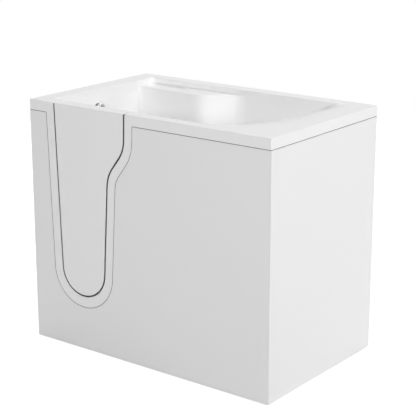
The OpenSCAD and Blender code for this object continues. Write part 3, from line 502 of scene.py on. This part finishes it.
def basin_rings(s, g):
    """Rings of the basin from the deck to the footwell floor, at a distance g outside its surface."""
    p = basin_places(s)
    slant, fillet = 25 * MM, 5 * MM

    def upper(z, out, shelf, left, end_x, end_back_x, end_z, end_t, back_t=57 * MM, bulge=0.0):
        return [
            (Vector((left - out - g, p.front - out - g, z - g)), 12 * MM),
            (Vector((end_x + g, p.front - bulge - out - g, end_z - g)), end_t),
            (Vector((end_back_x + g, p.back + out + g, end_z - g)), back_t),
            (Vector((DIAGONAL_BACK_X, p.back + out + g, z - g)), 30 * MM),
            (Vector((DIAGONAL_SHELF_X, shelf + out + g, z - g)), 30 * MM),
            (Vector((left - out - g, shelf + out + g, z - g)), 14 * MM),
        ]

    def rolled(z, out, shelf, share, degrees):
        """A ring on the roll, which turns from level (0 degrees) to upright (90)."""
        a = math.radians(degrees)
        turn = math.sin(a)
        return upper(
            z, out, shelf, p.left + LEFT_DRAFT * share, p.right - s.roll_length * turn,
            p.right - slant - s.roll_back_length * turn, s.height - s.roll_drop * (1 - math.cos(a)),
            (ROLL_ARC + ROLL_ARC_GROWTH * turn ** ROLL_ARC_POWER) * MM,
            (ROLL_BACK_ARC + ROLL_BACK_GROWTH * turn) * MM, ROLL_BULGE * MM * (1 - turn))

    def lower(z, inward, end_x, end_z, t):
        return [
            (Vector((p.wall_left + inward - g, p.front + inward - g, z - g)), t),
            (Vector((end_x + g, p.front + inward - g, end_z - g)), t),
            (Vector((end_x + g, p.shelf_y - inward + g, end_z - g)), min(t, 24 * MM)),
            (Vector((end_x - 60 * MM + g, p.shelf_y - inward + g, z - g)), 12 * MM),
            (Vector((end_x - 130 * MM + g, p.shelf_y - inward + g, z - g)), 30 * MM),
            (Vector((p.wall_left + inward - g, p.shelf_y - inward + g, z - g)), t),
        ]

    top, e = s.height, s.basin_round
    seat, floor, edge = s.seat_height, s.floor_height, s.seat_edge
    back, shelf, rest = p.back, p.shelf_y, p.backrest
    corners = [
        rolled(top, e, back, 0, 0),
        rolled(top - 0.3 * e, 0.3 * e, back, 0, 14),
        rolled(top - e, 0, back, 0, 26),
        rolled(p.shelf_z + fillet, 0, back, 0.35, 38),
        rolled(p.shelf_z, 0, back - fillet, 0.48, 50),
        rolled(p.shelf_z, 0, shelf + fillet, 0.52, 63),
        rolled(p.shelf_z - fillet, 0, shelf, 0.65, 76),
        rolled(top - s.roll_drop, 0, shelf, 1, 90),
        upper(seat + 90 * MM, -3 * MM, shelf, p.wall_left,
              rest, rest + 2 * slant, seat + 90 * MM, 240 * MM),
        upper(seat + 30 * MM, -4 * MM, shelf, p.wall_left,
              rest - slant, rest - slant, seat + 40 * MM, 190 * MM),
        upper(seat, -10 * MM, shelf, p.wall_left,
              rest - 3 * slant, rest - 4 * slant, seat + 10 * MM, 140 * MM),
        lower(seat - 15 * MM, 10 * MM, edge, seat, 34 * MM),
        lower(seat - 30 * MM, 11 * MM, edge - 20 * MM, seat - 9 * MM, 32 * MM),
        lower(seat - 60 * MM, 12 * MM, edge - 28 * MM, seat - 40 * MM, 30 * MM),
        lower(floor + 54 * MM, 16 * MM, edge - 38 * MM, floor + 54 * MM, 30 * MM),
        lower(floor + 18 * MM, 22 * MM, edge - 44 * MM, floor + 18 * MM, 30 * MM),
        lower(floor, 42 * MM, edge - 64 * MM, floor, 24 * MM),
    ]
    return [rounded(ring, *BASIN_STEPS) for ring in corners]


def tray(name, s, grow, low, edge=0.0):
    """The soap tray in the left part of the shelf, as a block from low up to the deck."""
    p = basin_places(s)
    margin, end_front, end_back = 8 * MM, -0.230, -0.274
    inner = margin - grow
    left, low_y, high_y = p.wall_left + inner, p.shelf_y + inner, p.back - inner
    corners = [Vector(c) for c in (
        (left, low_y), (end_front - inner, low_y), (end_back - inner, high_y), (left, high_y))]
    levels = [(off, low + rise) for off, rise in round_edge(edge, 3)] if edge else [(0, low)]
    rings = []
    for shrink, z in levels + [(0, s.height)]:
        outline = rounded(inset([(c, margin + grow) for c in corners], shrink), 6)
        rings.append([Vector((c.x, c.y, z)) for c in outline])
    return loft(name, rings)


def smooth_rings(rings, between_each):
    """More rings between the given ones, on a curve through them that never overshoots."""
    def tangent(a, b, c):
        return 0.0 if (b - a) * (c - b) <= 0 else 2 * (b - a) * (c - b) / ((b - a) + (c - b))

    n = len(rings)
    made = []
    for k in range(n - 1):
        before, a, b, after = rings[max(k - 1, 0)], rings[k], rings[k + 1], rings[min(k + 2, n - 1)]
        for j in range(between_each):
            t = j / between_each
            h00, h10 = 2 * t**3 - 3 * t**2 + 1, t**3 - 2 * t**2 + t
            h01, h11 = -2 * t**3 + 3 * t**2, t**3 - t**2
            ring = []
            for i in range(len(a)):
                point = []
                for x in range(3):
                    p0, p1, p2, p3 = before[i][x], a[i][x], b[i][x], after[i][x]
                    m1 = p2 - p1 if k == 0 else tangent(p0, p1, p2)
                    m2 = p2 - p1 if k == n - 2 else tangent(p1, p2, p3)
                    point.append(h00 * p1 + h10 * m1 + h01 * p2 + h11 * m2)
                ring.append(Vector(point))
            made.append(ring)
    made.append(rings[-1])
    return made


def rim_ring(x, y, z, steps, corner):
    """A rectangle with round corners, x and y from the middle."""
    corners = ((-x, -y, z), (x, -y, z), (x, y, z), (-x, y, z))
    return rounded([(Vector(c), corner) for c in corners], steps)


# ---------------------------------------------------------------- the door's outlines

def door_corners(d, top):
    foot_x = d.left + d.lean
    right = d.left + d.top_width
    foot_t = d.foot_width / 2 - 0.5 * MM
    step_out, shoulder_in, step_t = 28.5 * MM, 4 * MM, 38 * MM
    return [
        (Vector((d.left, top)), 0),
        (Vector((foot_x, d.sill)), foot_t),
        (Vector((foot_x + d.foot_width, d.sill)), foot_t),
        (Vector((foot_x + d.foot_width + step_out, d.step_low)), step_t),
        (Vector((right - shoulder_in, d.step_high)), step_t),
        (Vector((right, top)), 0),
    ]


def at_height(a, b, z):
    return a.x + (b.x - a.x) * (z - a.y) / (b.y - a.y)


def door_outline(d, height, s, top, foot=0.0, steps=16):
    """The door's outline in the XZ plane, s inside the middle of the gap, cut off at the height top."""
    c = inset(door_corners(d, height), s)
    drop = Vector((0, foot))
    return rounded([
        (Vector((at_height(c[0][0], c[1][0], top), top)), 0),
        (c[1][0] - drop, c[1][1]),
        (c[2][0] - drop, c[2][1]),
        c[3], c[4],
        (Vector((at_height(c[5][0], c[4][0], top), top)), 0),
    ], steps)


def flared(outline, height, r, steps=4):
    """The outline of a cutter whose two upper ends flare out by r below the height."""
    left, right = outline[0], outline[-1]
    below = height - r
    up_left, up_right = [], []
    left_x = at_height(outline[0], outline[1], below)
    right_x = at_height(outline[-1], outline[-2], below)
    for a in arc_angles(steps):
        rise, out = r * math.sin(a), r * (1 - math.cos(a))
        up_left.append(Vector((left_x - out, below + rise)))
        up_right.append(Vector((right_x + out, below + rise)))
    ends = Vector((up_left[-1].x, left.y)), Vector((up_right[-1].x, right.y))
    return [ends[0]] + up_left[::-1] + outline[1:-1] + up_right + [ends[1]]


def upright(name, sections, material=None):
    """A solid through outlines in the XZ plane: sections are (outline, depth)."""
    return loft(name, [[Vector((p.x, y, p.y)) for p in outline] for outline, y in sections], material)


def strip(name, rails, material):
    """A thin band along the door's outline: rails are (outline, depth), round the band's section."""
    lines = [[Vector((p.x, y, p.y)) for p in outline] for outline, y in rails]
    return loft(name, [list(section) for section in zip(*lines)], material)


def slope(d, s):
    return d.draft / s.deck_front


def door_side(d, s, y):
    return d.gap / 2 + slope(d, s) * (y + s.rim_width / 2)


def jamb_side(d, s, y):
    return -d.gap / 2 + slope(d, s) * (y + s.rim_width / 2)


def bolt_ways(s, d, before, beyond, radius):
    """Bars along both bolts, to cut out the room that they move in, from the door's edge both ways."""
    middle = -s.rim_width / 2 + s.deck_front / 2
    for edge, drop in ((d.bolt_high_edge, d.bolt_high_drop), (d.bolt_low_edge, d.bolt_low_drop)):
        profile = [(edge - before, radius), (edge + beyond, radius)]
        yield spin("bolt way", profile, (0, middle, s.height - drop), (1, 0, 0))


class TUB_OT_shell(Operator):
    """Deck, fascia, basin and door frame in one moulded piece"""
    bl_idname = "bathtub.shell"
    bl_label = "Tub shell"

    def execute(self, context):
        s, d = context.scene.tub_sizes, context.scene.tub_door
        front = -s.rim_width / 2
        x, y, r = s.rim_length / 2, s.rim_width / 2, s.rim_round
        low = s.height - s.fascia
        bevel, overlap = 0.8 * MM, 1 * MM
        outer = [(x - off, y - off, s.height - drop) for off, drop in round_edge(r, 5)]
        outer += [(x, y, low + 1 * MM), (x - 0.3 * MM, y - 0.3 * MM, low + 0.3 * MM),
                  (x - 1 * MM, y - 1 * MM, low)]
        inner = x - s.wall, y - s.wall
        outer += [(*inner, low), (*inner, s.height - s.wall)]
        rings = [rim_ring(ox, oy, oz, 4, max(0.6 * MM, r - (x - ox))) for ox, oy, oz in outer]
        shell = loft("tub_shell_look", rings)
        body = basin_rings(s, s.wall)
        lid = [Vector((p.x, p.y, s.height - s.wall / 2)) for p in body[0]]
        cut(shell, loft("basin outside", [lid] + smooth_rings(body, 3)), "UNION")
        plate_top = low + 4 * MM
        plate, edge = (door_outline(d, s.height, -d.frame_width - d.gap / 2 + draw_in, plate_top, d.frame_foot)
                       for draw_in in (0, bevel))
        sections = [(edge, front), (plate, front + bevel), (plate, front + s.wall)]
        cut(shell, upright("frame plate", sections), "UNION")
        jamb_end = front + s.deck_front + 26 * MM
        block = [(door_outline(d, s.height, jamb_side(d, s, y) - s.wall, s.height - s.wall + overlap), y)
                 for y in (front + overlap, jamb_end - overlap)]
        cut(shell, upright("jamb block", block), "UNION")
        p = basin_places(s)
        tray_floor = p.shelf_z - s.tray_drop
        cut(shell, tray("tray outside", s, s.wall, tray_floor - s.wall), "UNION")
        inside = basin_rings(s, 0)
        lid = [Vector((p.x, p.y, s.height + overlap)) for p in inside[0]]
        cut(shell, loft("basin inside", [lid] + smooth_rings(inside, 5)))
        cut(shell, tray("tray inside", s, 0, tray_floor, 2.5 * MM))
        drip = (-0.197, (p.back + p.shelf_y) / 2 + 12 * MM, p.shelf_z)
        drip_profile = [(-0.006, 0.004), (-0.0015, 0.004), (0, 0.0048), (0.02, 0.0048)]
        cut(shell, spin("drip hole", drip_profile, drip, (0, 0, 1)))
        sections = [(jamb_side(d, s, front) - d.edge_round, front - overlap)]
        for off, rise in round_edge(d.edge_round, 5):
            depth = front + rise
            sections.append((jamb_side(d, s, depth) - off, depth))
        sections.append((jamb_side(d, s, jamb_end), jamb_end))
        flare = 2 * MM
        gap = [(flared(door_outline(d, s.height, side, s.height + flare), s.height, flare), depth)
               for side, depth in sections]
        cut(shell, upright("door gap", gap))
        waste = context.scene.tub_waste
        for name, place, axis, radius in (
                ("waste hole", (waste.waste_x, waste.waste_y, s.floor_height), (0, 0, 1), 0.022),
                ("overflow hole", (p.wall_left, waste.waste_y, waste.overflow_z), (1, 0, 0), 0.014)):
            cut(shell, spin(name, [(-0.02, radius), (0.02, radius)], place, axis))
        for way in bolt_ways(s, d, 0, 40 * MM, d.keeper_radius):
            cut(shell, way)
        shell.data.materials.clear()
        shell.data.materials.append(finish("acrylic"))
        smooth(shell, 32)
        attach(shell, "tub")
        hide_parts("tub_shell")
        return {"FINISHED"}


class TUB_OT_door(Operator):
    """The two halves of the boot-shaped door, with their round edges, and the rubber seal round them"""
    bl_idname = "bathtub.door"
    bl_label = "Door"

    def execute(self, context):
        s, d = context.scene.tub_sizes, context.scene.tub_door
        front = -s.rim_width / 2
        middle, back = front + s.deck_front / 2, front + s.deck_front
        e, r = d.edge_round, s.rim_round
        parting = 0.02 * MM

        def outline(side, top, round_top=2 * MM):
            o = door_outline(d, s.height, side, top)
            head = corner_arc(o[-1], o[0], o[1], round_top, 4)
            tail = corner_arc(o[-2], o[-1], o[0], round_top, 4)
            return head + o[1:-1] + tail

        sections = []
        for (off, rise), (drop, _) in zip(round_edge(e, 5), round_edge(r, 5)):
            depth = front + rise
            sections.append((outline(door_side(d, s, depth) + off, s.height - drop), depth))
        sections.append((outline(door_side(d, s, middle), s.height), middle))
        outer = upright("door_outer_look", sections, finish("acrylic"))
        sections = [(outline(door_side(d, s, middle + parting), s.height), middle + parting)]
        for off, rise in reversed(round_edge(e, 4)):
            depth = back - rise
            sections.append((outline(door_side(d, s, depth) + off, s.height - off), depth))
        inner = upright("door_inner_look", sections, finish("acrylic"))
        for half, node in ((outer, "door_outer"), (inner, "door_inner")):
            for way in bolt_ways(s, d, 54 * MM, 10 * MM, d.bolt_radius):
                cut(half, way)
            smooth(half, 32)
            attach(half, "door")
            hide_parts(node)
        # Thin dark rubber linings on the jamb and the door: painted shade that makes the door gap as dark as
        # its shadow.
        y1 = middle - 1 * MM
        for name, side, deep, grow, body in (
                ("jamb_shade_lining", jamb_side, d.shade_lining_tub, d.shade_lining, "tub"),
                ("door_shade_lining", door_side, d.shade_lining_door, -d.shade_lining, "door")):
            y0 = front + deep
            rails = [(door_outline(d, s.height, side(d, s, y) + g, s.height - r), y)
                     for y, g in ((y0, 0), (y0, grow), (y1, grow), (y1, 0))]
            shade_lining = strip(name, rails, finish("rubber"))
            for way in bolt_ways(s, d, 10 * MM, 15 * MM, d.bolt_radius):
                cut(shade_lining, way)
            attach(shade_lining, body)
        paint_nodes(finish("foam"), "door_core")
        paint_nodes(finish("rubber"), "door_seal")
        return {"FINISHED"}


class TUB_OT_panels(Operator):
    """Front and side panel, with fine round edges and a mitred corner"""
    bl_idname = "bathtub.panels"
    bl_label = "Panels"

    def execute(self, context):
        s, d, p = context.scene.tub_sizes, context.scene.tub_door, context.scene.tub_panels
        x, y = s.rim_length / 2, s.rim_width / 2
        top = s.height - s.fascia - p.gap
        e, slack = p.edge_round, 0.1 * MM

        def front_face(grow, mitre):
            side = -d.frame_width - d.gap / 2 - p.joint - grow
            hole = door_outline(d, s.height, side, top - grow, d.frame_foot)
            hole = [h if h.y < top - grow - 1e-6 else Vector((h.x, top - grow)) for h in hole]
            low = Vector((-x + grow, p.foot + grow)), Vector((x - mitre, p.foot + grow))
            high = Vector((x - mitre, top - grow)), Vector((-x + grow, top - grow))
            return [*low, high[0]] + hole[::-1] + [high[1]]

        def side_face(grow, depth):
            """The side panel's outline at a depth under its face, clear of the mitre by slack."""
            front_y, back_y = -y + depth + slack + grow * 0.5, y - grow
            return [Vector((x - depth, at_y, z)) for at_y, z in (
                (front_y, p.foot + grow), (back_y, p.foot + grow), (back_y, top - grow), (front_y, top - grow))]

        steps = [(g, -y + depth) for g, depth in round_edge(e, 3)]
        sections = [(front_face(g, g * 0.5 + (depth + y)), depth) for g, depth in steps]
        sections.append((front_face(0, p.thickness), -y + p.thickness))
        front = upright("front_panel_look", sections, finish("panel"))
        sides = [side_face(g, depth + y) for g, depth in steps] + [side_face(0, p.thickness)]
        side = loft("side_panel_look", sides, finish("panel"))
        t, deep = p.thickness, p.turned
        inward, low, high = -y + t / 2 + deep, p.foot, top
        for panel, corners in (
                (front, ((-x, -y + t / 2, low), (x - 2 * t, inward, low + t))),
                (front, ((-x, -y + t / 2, low), (-x + t, inward, high))),
                (side, ((x - deep, -y + t + deep, low), (x - t / 2, y, low + t))),
                (side, ((x - deep, y - t, low), (x - t / 2, y, high)))):
            cut(panel, block("turned edge", *corners), "UNION")
        # Dark rubber gaskets behind the frame joint and the shadow gap under the fascia: painted shade that
        # darkens these joints like their shadow.
        frame_side = -d.frame_width - d.gap / 2
        inner, outer = (door_outline(d, s.height, frame_side - g, top, d.frame_foot)
                        for g in (slack, p.joint - slack))
        y0, y1 = -y + p.shade_gasket_depth, -y + t - 0.5 * MM
        rails = [(inner, y0), (outer, y0), (outer, y1), (inner, y1)]
        shade_gaskets = [strip("frame_shade_gasket", rails, finish("rubber"))]
        left, right = outer[0].x, outer[-1].x
        low, high, deep = top + slack, s.height - s.fascia - slack, p.shade_gasket_depth + 0.6 * MM
        for name, corners in (
                ("fascia_shade_gasket_left", ((-x + 1 * MM, -y + deep, low), (left, -y + t, high))),
                ("fascia_shade_gasket_right", ((right, -y + deep, low), (x - deep, -y + t, high))),
                ("fascia_shade_gasket_side", ((x - t, -y + t + slack, low), (x - deep, y - 1 * MM, high)))):
            shade_gasket = block(name, *corners)
            shade_gasket.data.materials.append(finish("rubber"))
            shade_gaskets.append(shade_gasket)
        for shade_gasket in shade_gaskets:
            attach(shade_gasket, "tub")
        for panel, node in ((front, "front_panel"), (side, "side_panel")):
            smooth(panel, 50)
            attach(panel, "tub")
            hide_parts(node)
        return {"FINISHED"}


class WasteSizes(PropertyGroup):
    waste_x: length("Waste, along", "Place of the waste along the tub", -0.295)
    waste_y: length("Waste, across", "Place of the waste across the tub", -0.057)
    overflow_z: length("Overflow", "Height of the overflow above the floor", 0.834)
    knob: length("Knob", "Radius of the overflow knob", 0.022)


class TUB_OT_overflow(Operator):
    """Chromed overflow knob with its rosette, and the waste plug with its flange"""
    bl_idname = "bathtub.overflow"
    bl_label = "Overflow and waste"

    def execute(self, context):
        s, w = context.scene.tub_sizes, context.scene.tub_waste
        place, along_x, m = (basin_places(s).wall_left, w.waste_y, w.overflow_z), (1, 0, 0), MM
        start = 3.6 * m
        neck, front, face = start + 7.5 * m, start + 15 * m, start + 14.2 * m
        profile = [(-20.5 * m, 0.5 * m), (-20.5 * m, 4 * m), (start, 4 * m)]
        profile += turned_edge(start, neck, 7 * m, 0.6 * m)[:9]
        profile += turned_edge(start + 7 * m, front, w.knob, 2 * m)
        profile += [(front, w.knob - 7 * m), (face, w.knob - 8 * m), (face, 0.5 * m)]
        knob = spin("overflow_knob_look", profile, place, along_x, finish("chrome"))
        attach(knob, "overflow_knob")
        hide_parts("overflow_knob")
        # A dark disc set into the knob's face: painted dark reflection, standing in for the dark crescent that
        # the chrome face shows.
        dark_reflection_r = w.knob - 8.2 * m
        profile = [(face, 0.5 * m), (face, dark_reflection_r), (face + 1.6 * m, dark_reflection_r),
                   (face + 2 * m, w.knob - 9 * m), (face + 2 * m, 0.5 * m)]
        dark_reflection = spin("overflow_knob_dark_reflection", profile, place, along_x, finish("dark_plastic"))
        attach(dark_reflection, "overflow_knob")
        paint_nodes(finish("chrome"), "overflow_rosette", "waste_flange", "waste_plug")
        paint_nodes(finish("pipe"), "waste_body", "waste_trap", "drain_pipe", "trap_nuts",
                    "overflow_body", "overflow_pipe")
        paint_nodes(finish("dark_plastic"), "pull_cable")
        return {"FINISHED"}


class TUB_OT_fittings(Operator):
    """Hinge, latch, steel frame, boards and feet"""
    bl_idname = "bathtub.fittings"
    bl_label = "Hinge, latch and frame"

    def execute(self, context):
        paint_nodes(finish("zinc"), "upper_bolt", "lower_bolt", "bolt_keepers", "panel_brackets", "base_frame",
                    "top_frame", "seat_supports", "floor_bearers", "foot_studs", "foot_nuts", "wall_brackets")
        paint_nodes(finish("hinge"), "hinge_leaf_frame", "hinge_leaf_door", "hinge_pin")
        paint_nodes(finish("chrome"), "latch_handle", "latch_rosette")
        paint_nodes(finish("pipe"), "bolt_guides")
        paint_nodes(finish("board"), "floor_board", "seat_board")
        paint_nodes(finish("dark_plastic"), "foot_pads")
        return {"FINISHED"}


# ---------------------------------------------------------------- stage

def seen_directly(nodes, links):
    """1 for what the camera, mirrors and glass see, and 0 for the light that falls on the object."""
    light = nodes.new("ShaderNodeLightPath")
    seen = light.outputs["Is Camera Ray"]
    for kind in ("Is Glossy Ray", "Is Transmission Ray"):
        seen = math_node(nodes, links, "MAXIMUM", seen, light.outputs[kind])
    return seen


def soft_white(name, tint, glow):
    """A pale matt surface that the camera and mirrors see lit up to white."""
    material = bpy.data.materials.new(name)
    material.use_nodes = True
    nodes, links = material.node_tree.nodes, material.node_tree.links
    shader = nodes["Principled BSDF"]
    shader.inputs["Base Color"].default_value = (*tint, 1)
    shader.inputs["Roughness"].default_value = 0.9
    shader.inputs["Specular IOR Level"].default_value = 0.1
    shader.inputs["Emission Color"].default_value = (1, 1, 1, 1)
    strength = math_node(nodes, links, "MULTIPLY", seen_directly(nodes, links), glow)
    links.new(strength, shader.inputs["Emission Strength"])
    return material


def power(name, description, default):
    return FloatProperty(name=name, description=description, default=default, min=0, subtype="POWER")


def strength(name, description, default):
    return FloatProperty(name=name, description=description, default=default, min=0)


class StageSettings(PropertyGroup):
    room: strength("Room light", "Strength of the light from all round", 0.03)
    right: power("Right light", "Power of the lamp at the right", 219)
    front: power("Front light", "Power of the lamp in front", 185)
    back: power("Back light", "Power of the high lamp behind the door end", 194)
    floor_glow: strength("Floor glow", "How much the floor is lit up to white where it is seen", 0.78)
    lamp_size: length("Lamp size", "Diameter of the lamps", 2.6)
    aim: length("Lamp aim", "Height on the tub's axis that the lamps face", 0.75)
    floor_radius: length("Floor radius", "Radius of the floor disc", 4)


def area_lamp(name, place, energy, set_up):
    """A round lamp that faces the upper part of the tub."""
    data = bpy.data.lights.new(name, "AREA")
    data.shape, data.size, data.energy = "DISK", set_up.lamp_size, energy
    lamp = bpy.data.objects.new(name, data)
    lamp.location = place
    lamp.rotation_mode = "QUATERNION"
    lamp.rotation_quaternion = (Vector((0, 0, set_up.aim)) - Vector(place)).to_track_quat("-Z", "Y")
    bpy.context.scene.collection.objects.link(lamp)


class TUB_OT_stage(Operator):
    """Floor, light and camera"""
    bl_idname = "bathtub.stage"
    bl_label = "Stage"

    def execute(self, context):
        scene, set_up = context.scene, context.scene.tub_stage
        scene.view_settings.view_transform = "Standard"
        sides, radius, drop = 96, set_up.floor_radius, 0.5 * MM
        angles = [2 * math.pi * k / sides for k in range(sides)]
        ring = [Vector((radius * math.cos(a), radius * math.sin(a), -drop)) for a in angles]
        pale = soft_white("pale floor", (0.7, 0.7, 0.7), set_up.floor_glow)
        floor = mesh_object("floor", ring, [tuple(range(sides))], pale)
        world = bpy.data.worlds.new("room")
        scene.world = world
        world.use_nodes = True
        nodes, links = world.node_tree.nodes, world.node_tree.links
        nodes.clear()
        out = nodes.new("ShaderNodeOutputWorld")
        mix = nodes.new("ShaderNodeMixShader")
        for slot, level in ((1, set_up.room), (2, 1)):
            background = nodes.new("ShaderNodeBackground")
            background.inputs["Color"].default_value = (1, 1, 1, 1)
            background.inputs["Strength"].default_value = level
            links.new(background.outputs[0], mix.inputs[slot])
        links.new(seen_directly(nodes, links), mix.inputs["Fac"])
        links.new(mix.outputs[0], out.inputs["Surface"])
        area_lamp("right light", (5.7, 0.4, 3.0), set_up.right, set_up)
        area_lamp("front light", (1.0, -5.7, 3.0), set_up.front, set_up)
        area_lamp("back light", (-2.6, 3.0, 5.4), set_up.back, set_up)
        add_camera(scene)
        return {"FINISHED"}


def add_camera(scene):
    """An ordinary camera that looks down on the rim, fitted to the photograph without any shift.
    The focal length is in pixels of a frame frame_px wide; angles are in radians."""
    yaw, pitch, focal, frame_px = 0.65033, math.radians(16.059), 1289.07, 416
    data = bpy.data.cameras.new("camera")
    data.sensor_width = 36
    data.lens = focal / frame_px * data.sensor_width
    data.clip_start, data.clip_end = 0.1, 50
    camera = bpy.data.objects.new("camera", data)
    camera.location = 2.73047, -3.55065, 1.80442
    camera.rotation_euler = math.pi / 2 - pitch, 0, yaw
    scene.collection.objects.link(camera)
    scene.camera = camera


# ---------------------------------------------------------------- the add-on

class TUB_PT_parts(Panel):
    """Lists the tub's pieces"""
    bl_idname = "TUB_PT_parts"
    bl_label = "Bathtub"
    bl_space_type = "VIEW_3D"
    bl_region_type = "UI"
    bl_category = "Bathtub"

    def draw(self, context):
        for name, group, label in GROUPS:
            box = self.layout.box()
            box.label(text=label)
            for setting in group.__annotations__:
                box.prop(getattr(context.scene, name), setting)
        for operator in OPERATORS:
            self.layout.operator(operator.bl_idname)


GROUPS = [
    ("tub_sizes", TubSizes, "Tub"),
    ("tub_door", DoorSizes, "Door"),
    ("tub_panels", PanelSizes, "Panels"),
    ("tub_waste", WasteSizes, "Waste"),
    ("tub_finishes", Finishes, "Finishes"),
    ("tub_stage", StageSettings, "Stage"),
]
OPERATORS = [TUB_OT_shell, TUB_OT_door, TUB_OT_panels, TUB_OT_overflow, TUB_OT_fittings, TUB_OT_stage]


def register():
    for name, group, _ in GROUPS:
        bpy.utils.register_class(group)
        setattr(bpy.types.Scene, name, PointerProperty(type=group))
    for operator in OPERATORS:
        bpy.utils.register_class(operator)
    bpy.utils.register_class(TUB_PT_parts)


def unregister():
    bpy.utils.unregister_class(TUB_PT_parts)
    for operator in reversed(OPERATORS):
        bpy.utils.unregister_class(operator)
    for name, group, _ in reversed(GROUPS):
        delattr(bpy.types.Scene, name)
        bpy.utils.unregister_class(group)


def main():
    register()
    bpy.ops.bathtub.stage()
    bpy.ops.bathtub.shell()
    bpy.ops.bathtub.door()
    bpy.ops.bathtub.panels()
    bpy.ops.bathtub.overflow()
    bpy.ops.bathtub.fittings()


if __name__ == "__main__":
    main()
